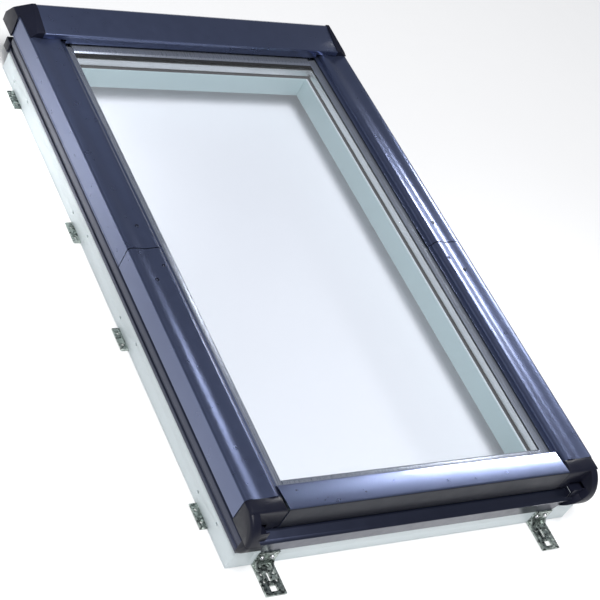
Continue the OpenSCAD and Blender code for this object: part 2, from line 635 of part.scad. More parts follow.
module sash_bottom() {
  color("white") difference() {
    along_x(-sxi, sxi) polygon([[sb, sash_z], [sbi, sash_z], [sbi, seat_z], [sb + leg_end_t, seat_z],
      [sb + leg_end_t, leg_z], [sb, leg_z]]);
    translate([-gear_x - 1, sb - 1, gear_z0]) cube([2 * gear_x + 2, sash_rail_t - 4, gear_z1 - gear_z0]);
    translate([-sxi + 10, sb - 1, cam_z - rod_h / 2 - rod_fit])
      cube([2 * sxi - 20, rod_y1 - sb + 1 + rod_fit, rod_h + 2 * rod_fit]);
    translate([-sxi + 6, sb - 1, cam_z - plate_z / 2 - fix]) cube([2 * sxi - 12, 1 + bracket_t / 2 + fix, plate_z + 2 * fix]);
    translate([0, gear_y, gear_z0]) hole(spindle_r + 2, 30);
    for (k = [-1, 1]) translate([k * rosette_l * 0.36, gear_y, sash_z]) hole(scr_r + scr_fit, scr_l);
  }
}

// ---- glass unit ----
module ring(x, y0, y1, w, z0, z1) {
  difference() {
    translate([-x, y0, z0]) cube([2 * x, y1 - y0, z1 - z0]);
    translate([-x + w, y0 + w, z0 - 1]) cube([2 * x - 2 * w, y1 - y0 - 2 * w, z1 - z0 + 2]);
  }
}
bed_w = 14;
module glass_bedding() { color([0.08, 0.08, 0.08]) ring(gx, gy0, gy1, bed_w, seat_z, z_in); }
module inner_pane() { color([0.7, 0.85, 0.85, 0.4]) translate([-gx, gy0, z_in]) cube([2 * gx, gy1 - gy0, pane_t]); }
module outer_pane() { color([0.7, 0.85, 0.85, 0.4]) translate([-gx, gy0, z_out]) cube([2 * gx, gy1 - gy0, pane_t]); }
module spacer() {
  color("silver") difference() {
    ring(gx - seal_w, gy0 + seal_w, gy1 - seal_w, spacer_w, z_sp, z_out);
    ring(gx - seal_w - 1, gy0 + seal_w + 1, gy1 - seal_w - 1, spacer_w - 2, z_sp + 1, z_out - 1);
  }
}
module edge_seal() { color([0.1, 0.1, 0.1]) ring(gx, gy0, gy1, seal_w, z_sp, z_out); }
module setting_blocks() {
  color([0.2, 0.2, 0.22]) for (x = [-gx * 0.6, gx * 0.6])
    translate([x - 40, gy0 - glass_gap, seat_z]) cube([80, glass_gap, z_top - seat_z - bed_w / 2]);
}

// ---- glazing beads ----
bead_in = gx - bead_w;
bead_out_x = sx - leg_t + 8;
cut_y = 28;
module bead_seal_strip() {
  color([0.06, 0.06, 0.06]) ring(gx - 2, gy0 + 2, gy1 - 2, bead_w - 6, z_top, bead_z);
}
module side_bead() {
  web_z = bead_z + bead_t - 0.4;
  along_y(gy0 - 12, gy1 + 12) polygon([[bead_in, bead_z], [bead_in, bead_z + 1],
    [ledge_x - 1, bead_z + bead_t], [ledge_x - 1, web_z - 1.3], [bead_in + 7, bead_z]]);
  for (r = [[gy0 - 12, -cut_y], [cut_y, gy1 + 12]]) along_y(r[0], r[1])
    polygon([[ledge_x - 3, web_z - 1.6], [ledge_x - 3, web_z - 0.4], [ledge_x - 1.4, web_z], [bead_out_x, web_z],
      [bead_out_x, leg_z], [bead_out_x - 2, leg_z], [bead_out_x - 2, web_z - 1.6]]);
}
module bead_left() { color([0.7, 0.71, 0.74]) side(-1) side_bead(); }
module bead_right() { color([0.7, 0.71, 0.74]) side(1) side_bead(); }
module end_bead(y_in, y_out, x) {
  d = y_out > y_in ? 1 : -1;
  along_x(-x, x) polygon([[y_in, bead_z], [y_in, bead_z + 0.8], [y_in + 4 * d, bead_z + bead_t],
    [y_out, bead_z + bead_t], [y_out, leg_z], [y_out - 2 * d, leg_z], [y_out - 2 * d, bead_z]]);
}
module bead_top() { color([0.62, 0.64, 0.7]) end_bead(gy1 - 4, st - 6, bead_in - fix); }
module bead_bottom() { color([0.62, 0.64, 0.7]) end_bead(gy0 + 11, sb + 4, bead_in - fix); }

// ---- sash bottom cover ----
sbc_x = cov_in - 7 - fix;
module sash_bottom_cover() {
  t = sheet;
  color([0.3, 0.33, 0.48]) along_x(-sbc_x, sbc_x)
    polygon([[bc_in, bead_z + bead_t + fix], [bc_in, bottom_in_z - 1], [bc_in - 1, bottom_in_z],
      [front_y + 2, bottom_out_z], [front_y, bottom_out_z - 2], [front_y, drip_z], [front_y + 5, drip_z],
      [front_y + 5, drip_z + t], [front_y + t, drip_z + t], [front_y + t, bottom_out_z - 2.5],
      [front_y + 2.6, bottom_out_z - t - 0.3], [bc_in - 1.5, bottom_in_z - t], [bc_in - t, bottom_in_z - 1.8],
      [bc_in - t, bead_z + bead_t + fix]]);
}
module sash_bottom_blocks() {
  color([0.25, 0.25, 0.27]) for (x = [-230, 0, 230]) along_x(x - 20, x + 20)
    polygon([[sb + 0.5, leg_z], [sb + 3.5, leg_z], [sb + 3.5, bead_z + bead_t + fix], [bc_in - 2.4, bead_z + bead_t + fix],
      [bc_in - 2.4, bottom_in_z - 1.7], [front_y + 2.4, bottom_out_z - 2.1], [front_y + 2.4, drip_z + 24],
      [sb - 6, drip_z + 24], [sb - 1, leg_z + 8], [sb + 0.5, leg_z + 8]]);
}

// ---- pivot hinges: curved track on the frame, shoe on the sash ----
module arc(r0, r1, a0, a1, x0, x1) {
  translate([x0, 0, pivot_z]) rotate([90, 0, 90])
    rotate([0, 0, a0]) rotate_extrude(angle = a1 - a0, $fn = 144) translate([r0, 0]) square([r1 - r0, x1 - x0]);
}
module hinge_track() {
  difference() {
    union() {
      hinge_plate_shape(in_x, hinge_plate, 0);
      arc(track_r - track_w / 2, track_r + track_w / 2, -180, 0, in_x - track_h, in_x + eps);
      arc(track_r + track_w / 2 - 1, track_r + track_w / 2 + shoe_wall - 0.6, -180, -(shoe_arc + open_max) - 1, in_x - track_h, in_x + eps);
    }
    translate([in_x - 1, 0, pivot_z]) rotate([0, 90, 0])
      cylinder(r = track_r - track_w / 2 - shoe_wall - 2, h = hinge_plate + 2, $fn = 96);
    for (k = [-1, 1]) translate([in_x, k * hinge_screw_dy / 2, hinge_screw_z]) rotate([0, 90, 0])
      hole(scr_r + scr_fit, scr_l);
  }
  for (k = [-1, 1]) translate([in_x, k * hinge_screw_dy / 2, hinge_screw_z]) rotate([0, -90, 0])
    screw(scr_head, 1.8, scr_r, scr_l);
}
module hinge_track_left() { color("silver") side(-1) hinge_track(); }
module hinge_track_right() { color("silver") side(1) hinge_track(); }
shoe_screws = [[track_r + 22, 96], [track_r + 40, 96]];
module shoe_arm_shape(t, grow) {
  rotate([90, 0, 90]) linear_extrude(t) polygon([[27 - grow, leg_z - 20 - grow], [track_r + 50 + grow, leg_z - 20 - grow],
    [track_r + 50 + grow, leg_z + eps], [track_r + 12, leg_z + eps], [track_r + 8, pivot_z - 1],
    [track_r - 8.6, pivot_z - 1], [27 - grow, leg_z]]);
}
module hinge_shoe() {
  r0 = track_r - track_w / 2;
  r1 = track_r + track_w / 2;
  difference() {
    union() {
      intersection() {
        translate([pocket_x - hinge_plate, 0, 0]) shoe_arm_shape(hinge_plate, 0);
        translate([0, 26, 60]) cube([hx, 90, pivot_z - 60]);
      }
      arc(r1 + shoe_fit, r1 + shoe_fit + shoe_wall, -shoe_arc, -1, pocket_x - 0.5, in_x - 0.5);
      arc(r0 - shoe_fit - shoe_wall, r0 - shoe_fit, -shoe_arc, -1, pocket_x - 0.5, in_x - 0.5);
      arc(r0 - shoe_fit - shoe_wall, r1 + shoe_fit + shoe_wall, -shoe_arc, -1, pocket_x - 0.5, in_x - track_h - shoe_fit);
    }
    for (p = shoe_screws) translate([pocket_x, p[0], p[1]]) rotate([0, 90, 0]) hole(scr_r + scr_fit, scr_l);
  }
  for (p = shoe_screws) translate([pocket_x, p[0], p[1]]) rotate([0, 90, 0]) screw(scr_head, 1.8, scr_r, scr_l);
}
module hinge_shoe_left() { color([0.5, 0.5, 0.53]) side(-1) hinge_shoe(); }
module hinge_shoe_right() { color([0.5, 0.5, 0.53]) side(1) hinge_shoe(); }

// ---- mounting ----
module plates() {
  for (y = plate_ys) difference() {
    translate([plate_scr_x - pilot_depth + fix, y - side_plate_l / 2, 0])
      cube([hx + side_plate_out - plate_scr_x + pilot_depth - fix, side_plate_l, side_plate_t]);
    for (k = [-1, 1]) {
      translate([plate_scr_x, y + k * side_plate_l / 4, 0]) hole(scr_r + scr_fit, 5);
      translate([hx + side_plate_out / 2, y + k * side_plate_l / 4, 0]) hole(fix_d / 2, 5);
    }
  }
}
module side_plates() { color([0.7, 0.72, 0.72]) for (s = [-1, 1]) side(s) plates(); }
module side_plate_screws() {
  color("silver") for (s = [-1, 1], y = plate_ys, k = [-1, 1]) side(s)
    translate([plate_scr_x, y + k * side_plate_l / 4, side_plate_t - 1.2]) {
      cylinder(r = scr_r, h = scr_l, $fn = 32);
    }
}
slot_w = 5; slot_l = 17; window_w = 14; window_l = 11;
module bracket() {
  difference() {
    union() {
      translate([bracket_x - bracket_w / 2, -hy - bracket_t, 0]) cube([bracket_w, bracket_t, bracket_h]);
      translate([bracket_x - bracket_w / 2, -hy - bracket_l, 0]) cube([bracket_w, bracket_l, bracket_t]);
      for (k = [-1, 1]) translate([bracket_x + k * (bracket_w / 2 - 4) - 1.5, 0, 0])
        along_x(0, 3) polygon([[-hy - bracket_t + eps, bracket_t - eps], [-hy - bracket_t - 9, bracket_t - eps],
          [-hy - bracket_t + eps, bracket_t + 12]]);
    }
    for (k = [-1, 1]) {
      translate([bracket_x + k * bracket_w / 4, -hy, bracket_h * 0.62]) rotate([90, 0, 0]) hole(scr_r + scr_fit, 8);
      for (y = [22, 36]) translate([bracket_x + k * bracket_w * 0.3, -hy - y, 0]) hole(fix_d / 2, 8);
    }
    translate([bracket_x - slot_w / 2, -hy - 36, -1]) cube([slot_w, slot_l, 9]);
    translate([bracket_x - window_w / 2, -hy - bracket_l + 7, -1]) cube([window_w, window_l, 9]);
  }
}
module bracket_left() { color([0.55, 0.6, 0.55]) side(-1) bracket(); }
module bracket_right() { color([0.55, 0.6, 0.55]) side(1) bracket(); }
module bracket_screws() {
  color("silver") for (s = [-1, 1], k = [-1, 1]) side(s)
    translate([bracket_x + k * bracket_w / 4, -hy - bracket_t, bracket_h * 0.62]) rotate([90, 0, 0])
      screw(scr_head, scr_h, scr_r, scr_l);
}

module striker_screws() {
  color("silver") for (s = [-1, 1], k = [-1, 1])
    translate([s * cam_x + strike_x + k * 8, strike_y + 1.8, cam_z]) rotate([-90, 0, 0])
      screw(scr_head, 1.4, scr_r, scr_l);
}

// ---- lock: handle, pinion, drive rod, cams and strikers ----
spindle_r = 4;
rosette_l = 56;
rosette_w = 26;
lever_z = 8;
strike_y = -hy + frame_t - 2;
strike_lip = 7.2;
strike_l = 30;
strike_x = 20;
module strikers() {
  color("silver") for (s = [-1, 1]) translate([s * cam_x + strike_x, strike_y, 0]) difference() {
    union() {
      translate([-strike_l / 2 + 2, 0, cam_z + cam_r + fix]) cube([strike_l - 4, strike_lip, 2]);
      translate([-strike_l / 2, 0, cam_z - 8]) cube([strike_l, 1.8, cam_r + 10 + fix]);
    }
    for (k = [-1, 1]) translate([k * 8, 0, cam_z]) rotate([90, 0, 0]) hole(scr_r + scr_fit, 8);
  }
}
module gearbox_case() {
  y0 = sb + 7.2;
  y1 = sbi - 6.2;
  color([0.5, 0.5, 0.52]) difference() {
    translate([-gear_x, y0, gear_z0 + fix]) cube([2 * gear_x, y1 - y0, gear_z1 - gear_z0 - 2 * fix]);
    translate([-gear_x + 2, y0 - 1, gear_z0 + 3]) cube([2 * gear_x - 4, y1 - y0 - 1, gear_z1 - gear_z0 - 6]);
    translate([0, gear_y, gear_z0]) hole(spindle_r + spindle_fit, 60);
  }
}
function tooth_pts(r, n) = [for (i = [0:n - 1]) for (q = [[-0.26, -2], [-0.13, 1.8], [0.13, 1.8], [0.26, -2]])
  let (a = (i + q[0]) * 360 / n) [(r + q[1]) * cos(a), (r + q[1]) * sin(a)]];
module handle() {
  color([0.75, 0.75, 0.77]) {
    translate([0, gear_y, lever_z]) cylinder(r = lever_w / 2 + 1, h = sash_z - 6 - fix - lever_z, $fn = 64);
    translate([0, gear_y - lever_w / 2, lever_z]) cube([lever_l - lever_w / 2, lever_w, 10]);
    translate([lever_l - lever_w / 2, gear_y, lever_z]) cylinder(r = lever_w / 2, h = 10, $fn = 64);
    translate([0, gear_y, sash_z - 8]) cylinder(r = spindle_r, h = gear_z1 - sash_z + 6, $fn = 64);
    translate([0, gear_y, cam_z - 3]) linear_extrude(6) difference() {
      polygon(tooth_pts(pinion_r, pinion_n));
      circle(r = spindle_r - eps, $fn = 64);
    }
  }
}
module rosette() {
  color([0.7, 0.7, 0.72]) difference() {
    translate([-rosette_l / 2, gear_y - rosette_w / 2, sash_z - 6]) cube([rosette_l, rosette_w, 6]);
    translate([0, gear_y, sash_z]) hole(spindle_r + spindle_fit, 20);
    for (k = [-1, 1]) translate([k * rosette_l * 0.36, gear_y, sash_z - 6]) hole(scr_r + scr_fit, 8);
  }
  color("silver") for (k = [-1, 1]) translate([k * rosette_l * 0.36, gear_y, sash_z - 6]) rotate([180, 0, 0])
    screw(scr_head - 1, 1.4, scr_r, scr_l);
}
pitch = 2 * PI * pinion_r / pinion_n;
module drive_rod() {
  color([0.62, 0.64, 0.66]) {
    difference() {
      translate([-cam_x - 30, sb + bracket_t / 2 + rod_fit, cam_z - rod_h / 2])
        cube([2 * cam_x + 60, rod_y1 - sb - bracket_t / 2 - rod_fit, rod_h]);
      for (s = [-1, 1]) translate([s * cam_x, sb + bracket_t / 2 + rod_fit + 1, cam_z]) rotate([90, 0, 0])
        cylinder(r = 3, h = 6, $fn = 48);
    }
    translate([0, 0, cam_z - 3]) linear_extrude(6) {
      for (i = [-5:1]) translate([(i + 0.5) * pitch, 0]) polygon([[-1.5, rod_y1 - eps], [1.5, rod_y1 - eps],
        [0.9, gear_y - pinion_r + 1.7], [-0.9, gear_y - pinion_r + 1.7]]);
    }
  }
}
module lock_cams() {
  color("silver") for (s = [-1, 1]) translate([s * cam_x, sb + bracket_t / 2 + rod_fit + 1, cam_z]) rotate([90, 0, 0]) {
    cylinder(r = 3, h = 6, $fn = 48);
    translate([0, 0, 6 - eps]) cylinder(r = cam_r, h = 2.6, $fn = 48);
  }
}
module forend() {
  color([0.62, 0.64, 0.66]) difference() {
    translate([-sxi + 6 + fix, sb, cam_z - plate_z / 2]) cube([2 * sxi - 12 - 2 * fix, bracket_t / 2, plate_z]);
    for (s = [-1, 1]) translate([s * cam_x - 5, sb - 1, cam_z - 3.5]) cube([rod_travel + 10, 9, 7]);
  }
}

frame_left();
frame_right();
frame_top();
frame_bottom();
flashing_rail_left();
flashing_rail_right();
rail_clips();
frame_seals();
frame_bottom_cover();
frame_bottom_support();
frame_corners();
hood();
hood_support();
hood_cap_left();
hood_cap_right();
upper_cover_left();
upper_cover_right();
upper_cover_blocks();
upper_cover_screws();
side_plates();
side_plate_screws();
bracket_left();
bracket_right();
bracket_screws();
strikers();
striker_screws();
hinge_track_left();
hinge_track_right();
sash_left();
sash_right();
sash_top();
sash_bottom();
glass_bedding();
inner_pane();
spacer();
edge_seal();
outer_pane();
setting_blocks();
bead_seal_strip();
bead_left();
bead_right();
bead_top();
bead_bottom();
lower_cover_left();
lower_cover_right();
lower_cover_blocks();
lower_cover_screws();
cover_cap_left();
cover_cap_right();
sash_bottom_cover();
sash_bottom_blocks();
hinge_shoe_left();
hinge_shoe_right();
gearbox_case();
forend();
rosette();
handle();
drive_rod();
lock_cams();
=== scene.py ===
import json
import math

import bpy
from bpy.props import FloatProperty, FloatVectorProperty, PointerProperty
from mathutils import Matrix, Vector


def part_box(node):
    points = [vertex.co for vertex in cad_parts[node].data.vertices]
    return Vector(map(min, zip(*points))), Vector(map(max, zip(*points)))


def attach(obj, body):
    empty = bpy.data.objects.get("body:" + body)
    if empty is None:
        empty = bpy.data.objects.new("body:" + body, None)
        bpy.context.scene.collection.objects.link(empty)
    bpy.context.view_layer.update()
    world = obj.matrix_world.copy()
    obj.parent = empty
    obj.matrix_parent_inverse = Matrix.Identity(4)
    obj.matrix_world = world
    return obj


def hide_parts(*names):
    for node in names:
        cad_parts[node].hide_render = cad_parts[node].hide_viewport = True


bl_info = {
    "name": "Roof Window",
    "version": (1, 0, 0),
    "blender": (4, 5, 0),
    "location": "3D View > Sidebar > Roof Window",
    "description": "Builds the finished pieces of a centre-pivot roof window",
    "category": "Object",
}

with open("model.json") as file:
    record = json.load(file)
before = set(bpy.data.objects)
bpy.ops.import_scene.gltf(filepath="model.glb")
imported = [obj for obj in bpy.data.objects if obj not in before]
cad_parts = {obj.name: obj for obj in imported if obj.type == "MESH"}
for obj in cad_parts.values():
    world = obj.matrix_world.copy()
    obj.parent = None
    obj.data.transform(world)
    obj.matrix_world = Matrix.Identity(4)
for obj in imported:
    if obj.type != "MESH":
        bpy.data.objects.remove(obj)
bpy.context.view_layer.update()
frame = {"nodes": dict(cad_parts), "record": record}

BODIES = frame["record"]["behaviour"]["bodies"]
BODY_OF = {node: body for body, nodes in BODIES.items() for node in nodes}
SLOT_OF = {part["node"]: part["material_slot"] for part in frame["record"]["subparts"]}
X, Y, Z = Vector((1, 0, 0)), Vector((0, 1, 0)), Vector((0, 0, 1))
SIDES = {"left": -1, "right": 1}
MM = 0.001

# the side covers' section: top from inner edge to ridge, and the fold radius
COVER_TOP = 0.066
COVER_FOLD = 0.0009
# its ledge above the skirt's foot, without and with a hem, and the step up to the inner edge
LEDGE_RISE, LEDGE_RISE_HEMMED = 0.035, 0.0362
LEDGE_STEP_IN, LEDGE_STEP_UP = 0.0005, 0.0004
# its outer edge, as distances in from the ridge and down from the top
VALLEY_IN, VALLEY_STEPS = 0.0085, 12
CHAMFER_IN, CHAMFER_DOWN = 0.0028, 0.0007
SKIRT_IN, SKIRT_DOWN = 0.0002, 0.0042
# the hem at the foot of the upper pair's skirt
HEM_RADIUS, HEM_IN, HEM_SETBACK = 0.0016, 0.0010, 0.0006

# the side covers' screw heads, how far apart two screws are at least, and how a head is found
HEAD_RADIUS, HEAD_HEIGHT, HEAD_SINK = 0.0036, 0.0022, 0.0013
SCREW_APART, HEAD_REACH = 0.012, 0.0030

# the sash's bottom cover: foot of its rear edge, fall to the rear, and lip under the front
REAR_FOOT, REAR_FALL, FRONT_LIP = 0.037, 0.0055, 0.006

SHEET_SMOOTH = 24

# the studio: floor, and the room that lights and mirrors
FLOOR_SIZE, FLOOR_DROP = 14, 0.0012
ROOM_COLOUR, ROOM_STRENGTH = (0.86, 0.9, 1.0, 1.0), 0.2

# the camera: lens and sensor in millimetres, shifts in sensor widths, place in metres, then its axes
LENS, SENSOR = 96.49, 36.0
SHIFT_X, SHIFT_Y = 0.0615, -0.0397
CAMERA_PLACE = (-1.7342, -1.6502, 1.9512)
CAMERA_RIGHT = Vector((0.83003, -0.3877, 0.40092))
CAMERA_UP = Vector((0.02802, 0.74694, 0.6643))
CAMERA_BACK = Vector((-0.55701, -0.54016, 0.63084))

# the round cheek that the cover caps and the frame's corners share, seen from the side
CHEEK_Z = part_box("cover_cap_right")[0].z + MM
CHEEK_R = 0.050
CHEEK_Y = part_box("cover_cap_right")[0].y + CHEEK_R


# ---- sizes and colours that a user would change ----

class RoofWindowSizes(bpy.types.PropertyGroup):
    """Sizes of the folds, edges and details that the finished pieces add"""
    sheet: FloatProperty(name="Sheet", description="Thickness of the cover sheet",
                         default=0.0012, min=0.0005, unit="LENGTH", precision=4)
    fold: FloatProperty(name="Fold radius", description="Rounding of the folds in the covers",
                        default=0.0022, min=0.0005, unit="LENGTH", precision=4)
    hump: FloatProperty(name="Inner edge radius", description="Rounding of the covers' inner edge",
                        default=0.009, min=0.004, unit="LENGTH", precision=4)
    valley: FloatProperty(name="Valley", description="Depth of the shallow valley along the side covers",
                          default=0.0026, min=0.0, unit="LENGTH", precision=4)
    timber_edge: FloatProperty(name="Timber edge", description="Rounding of the painted timber's edges",
                               default=0.0018, min=0.0002, unit="LENGTH", precision=4)
    plastic_edge: FloatProperty(name="Plastic edge", description="Rounding of the moulded caps' edges",
                                default=0.0016, min=0.0002, unit="LENGTH", precision=4)
    metal_edge: FloatProperty(name="Metal edge", description="Rounding of the fittings' edges",
                              default=0.0005, min=0.0001, unit="LENGTH", precision=4)
    return_length: FloatProperty(name="Corner return length", description="Length of the corners' turned-in edge",
                                 default=0.014, min=0.004, unit="LENGTH", precision=4)
    return_depth: FloatProperty(name="Corner return depth", description="Height of the corners' turned-in edge",
                                default=0.013, min=0.004, unit="LENGTH", precision=4)
    cheek_rim: FloatProperty(name="Cheek rim", description="Rounding of the rim of the caps' round cheeks",
                             default=0.006, min=0.001, unit="LENGTH", precision=4)


class RoofWindowColours(bpy.types.PropertyGroup):
    """Colours of the finishes"""
    cover: FloatVectorProperty(name="Covers", description="Coating of the covers and the hood", subtype="COLOR",
                               default=(0.10, 0.125, 0.225), min=0.0, max=1.0)
    rail: FloatVectorProperty(name="Rails", description="Coating of the flashing rails and the frame's bottom cover",
                              subtype="COLOR", default=(0.030, 0.036, 0.066), min=0.0, max=1.0)
    plastic: FloatVectorProperty(name="Caps", description="Moulded end caps and clips", subtype="COLOR",
                                 default=(0.008, 0.009, 0.018), min=0.0, max=1.0)
    timber: FloatVectorProperty(name="Timber", description="White paint on the timber", subtype="COLOR",
                                default=(0.66, 0.73, 0.75), min=0.0, max=1.0)
    glass: FloatVectorProperty(name="Glass", description="Colour that light takes in one face of a pane",
                               subtype="COLOR", default=(0.972, 0.978, 0.990), min=0.0, max=1.0)
    bead: FloatVectorProperty(name="Beads", description="Coating of the glazing beads", subtype="COLOR",
                              default=(0.30, 0.33, 0.40), min=0.0, max=1.0)
    floor: FloatVectorProperty(name="Floor", description="Colour of the studio floor", subtype="COLOR",
                               default=(0.88, 0.88, 0.88), min=0.0, max=1.0)


def sizes():
    return bpy.context.scene.roof_window_sizes


def colours():
    return bpy.context.scene.roof_window_colours


# ---- shader expressions ----

class Wire:
    """A socket in a finish. Sums and products of wires add the Math nodes they need."""

    def __init__(self, graph, socket):
        self.graph, self.socket = graph, socket

    def maths(self, operation, first, second):
        return self.graph.add("ShaderNodeMath", {"operation": operation}, {0: first, 1: second})

    def __add__(self, other):
        return self.maths("ADD", self, other)

    def __sub__(self, other):
        return self.maths("SUBTRACT", self, other)

    def __rsub__(self, other):
        return self.maths("SUBTRACT", other, self)

    def __mul__(self, other):
        return self.maths("MULTIPLY", self, other)

    def __pow__(self, other):
        return self.maths("POWER", self, other)

    __radd__, __rmul__ = __add__, __mul__


class Finish:
    """A material under construction: a Principled shader and the nodes that feed it."""

    def __init__(self, name, **numbers):
        self.material = bpy.data.materials.new(name)
        self.material.use_nodes = True
        self.tree = self.material.node_tree
        self.tree.nodes.clear()
        self.shader = self.add("ShaderNodeBsdfPrincipled")
        self.out = self.tree.nodes.new("ShaderNodeOutputMaterial")
        self.tree.links.new(self.shader.socket, self.out.inputs["Surface"])
        self.set(**numbers)
        self.place = self.add("ShaderNodeTexCoord", out="Object")

    def add(self, kind, settings=None, values=None, out=0):
        """Adds a node, sets it, feeds its sockets and returns the wire from one of its outputs."""
        node = self.tree.nodes.new(kind)
        for key, value in (settings or {}).items():
            setattr(node, key, value)
        for key, value in (values or {}).items():
            self.feed(node.inputs[key], value)
        return Wire(self, node.outputs[out])

    def feed(self, socket, value):
        if isinstance(value, Wire):
            self.tree.links.new(value.socket, socket)
        else:
            socket.default_value = value

    def set(self, **values):
        """Feeds the Principled shader: base_color="..." stands for its Base Color socket."""
        for key, value in values.items():
            self.feed(self.shader.socket.node.inputs[key.replace("_", " ").title().replace("Ior", "IOR")], value)

    def noise(self, scale, detail=2.0, roughness=0.5, stretch=(1, 1, 1)):
        """Noise of the given size in features for each metre, drawn out along an axis by stretch."""
        where = self.add("ShaderNodeMapping", None, {"Vector": self.place, "Scale": stretch})
        return self.add("ShaderNodeTexNoise", None,
                        {"Vector": where, "Scale": scale, "Detail": detail, "Roughness": roughness})

    def cells(self, scale):
        return self.add("ShaderNodeTexVoronoi", {"feature": "F1"}, {"Vector": self.place, "Scale": scale}, "Color")

    def remap(self, wire, low, high, out_low=0.0, out_high=1.0):
        return self.add("ShaderNodeMapRange", None, {"Value": wire, "From Min": low, "From Max": high,
                                                      "To Min": out_low, "To Max": out_high})

    def mix(self, factor, first, second):
        """A colour between two colours."""
        return self.add("ShaderNodeMix", {"data_type": "RGBA"},
                        {0: factor, 6: opaque(first), 7: opaque(second)}, 2)

    def bump(self, height, depth, strength=1.0):
        self.set(normal=self.add("ShaderNodeBump", None,
                                 {"Height": height, "Distance": depth, "Strength": strength}))


def opaque(tone):
    return tone if isinstance(tone, Wire) else (*tone[:3], 1.0)


def shade(tone, factor):
    return tuple(min(1.0, part * factor) for part in tone)


def coated_metal(name, tone, roughness, gloss, flake=0.85):
    """Baked metallic coating on sheet: fine orange peel, faint cloudiness and a clear top layer."""
    look = Finish(name, metallic=flake, coat_roughness=0.1, ior=1.5)
    cloud = look.noise(9, 3)
    look.set(base_color=look.mix(cloud, shade(tone, 0.92), shade(tone, 1.08)),
             roughness=look.remap(look.noise(45, 4), 0.3, 0.7, roughness - 0.03, roughness + 0.04),
             coat_weight=look.remap(cloud, 0.3, 0.7, gloss * 0.85, gloss))
    look.bump(look.noise(900, 2) + look.noise(140, 1) * 0.6, 0.00002, 0.5)
    return look.material


def moulded_plastic(name, tone, roughness=0.34):
    """Injection-moulded plastic with a fine spark-eroded grain."""
    look = Finish(name, ior=1.5, specular_ior_level=0.22)
    look.set(base_color=look.mix(look.noise(14, 2), shade(tone, 0.85), shade(tone, 1.2)),
             roughness=look.remap(look.noise(60, 3), 0.3, 0.7, roughness - 0.05, roughness + 0.08))
    look.bump(look.noise(1600, 3), 0.00006, 0.5)
    return look.material


def painted_timber(name, tone):
    """Sprayed white paint: the pine's grain shows through as long shallow ripples."""
    look = Finish(name, ior=1.48)
    grain = look.noise(60, 4, 0.6, (4, 0.16, 4))
    look.set(base_color=look.mix(look.noise(5, 3), shade(tone, 0.955), shade(tone, 1.02)),
             roughness=look.remap(look.noise(30, 3), 0.3, 0.7, 0.36, 0.5))
    look.bump(grain + look.noise(700, 2) * 0.25, 0.00018, 0.45)
    return look.material


def rubber(name, tone=(0.012, 0.012, 0.013)):
    look = Finish(name, ior=1.5)
    look.set(base_color=look.mix(look.noise(25, 3), shade(tone, 0.8), shade(tone, 1.5)),
             roughness=look.remap(look.noise(90, 3), 0.3, 0.7, 0.55, 0.75))
    look.bump(look.noise(1200, 2), 0.00008, 0.5)
    return look.material


def drawn_metal(name, tone, roughness, stretch=(6, 0.08, 6), metallic=1.0):
    """Drawn or rolled metal with fine lines along its length."""
    look = Finish(name, metallic=metallic)
    lines = look.noise(260, 2, 0.5, stretch)
    look.set(base_color=look.mix(look.noise(12, 3), shade(tone, 0.86), shade(tone, 1.1)),
             roughness=look.remap(lines, 0.3, 0.7, roughness - 0.06, roughness + 0.1))
    look.bump(lines, 0.00001, 0.4)
    return look.material


def galvanised(name, tone, roughness):
    """Hot-dip zinc: spangles of different tone and gloss, with faint pits."""
    look = Finish(name, metallic=1.0)
    spangle = look.add("ShaderNodeSeparateColor", None, {"Color": look.cells(260)})
    look.set(base_color=look.mix(spangle, shade(tone, 0.25), shade(tone, 1.3)),
             roughness=look.remap(spangle, 0.0, 1.0, roughness - 0.14, roughness + 0.1))
    look.bump(look.noise(500, 4) + spangle * 0.3, 0.00012, 0.5)
    return look.material


def pane_glass(name, tone):
    """Clear float glass: light goes straight through, and the faces mirror a little of the room."""
    look = Finish(name, roughness=0.02, ior=1.52, base_color=opaque(shade(tone, 0.9)))
    clear = look.add("ShaderNodeBsdfTransparent", None, {"Color": opaque(tone)})
    film = look.remap(look.noise(7, 4), 0.35, 0.75, 0.0, 0.008)
    shine = look.add("ShaderNodeLayerWeight", None, {"Blend": 0.5}, "Facing") ** 5 * 0.8 + film + 0.02
    mixed = look.add("ShaderNodeMixShader", None, {0: shine, 1: clear, 2: look.shader})
    look.tree.links.new(mixed.socket, look.out.inputs["Surface"])
    return look.material


def ground_glass(name, tone):
    """The panes' ground edges: matt and green from the depth of the glass behind them."""
    look = Finish(name, ior=1.5)
    look.set(base_color=look.mix(look.noise(40, 3), shade(tone, 0.7), shade(tone, 1.2)),
             roughness=look.remap(look.noise(300, 3), 0.3, 0.7, 0.35, 0.6))
    look.bump(look.noise(900, 2), 0.00005, 0.5)
    return look.material


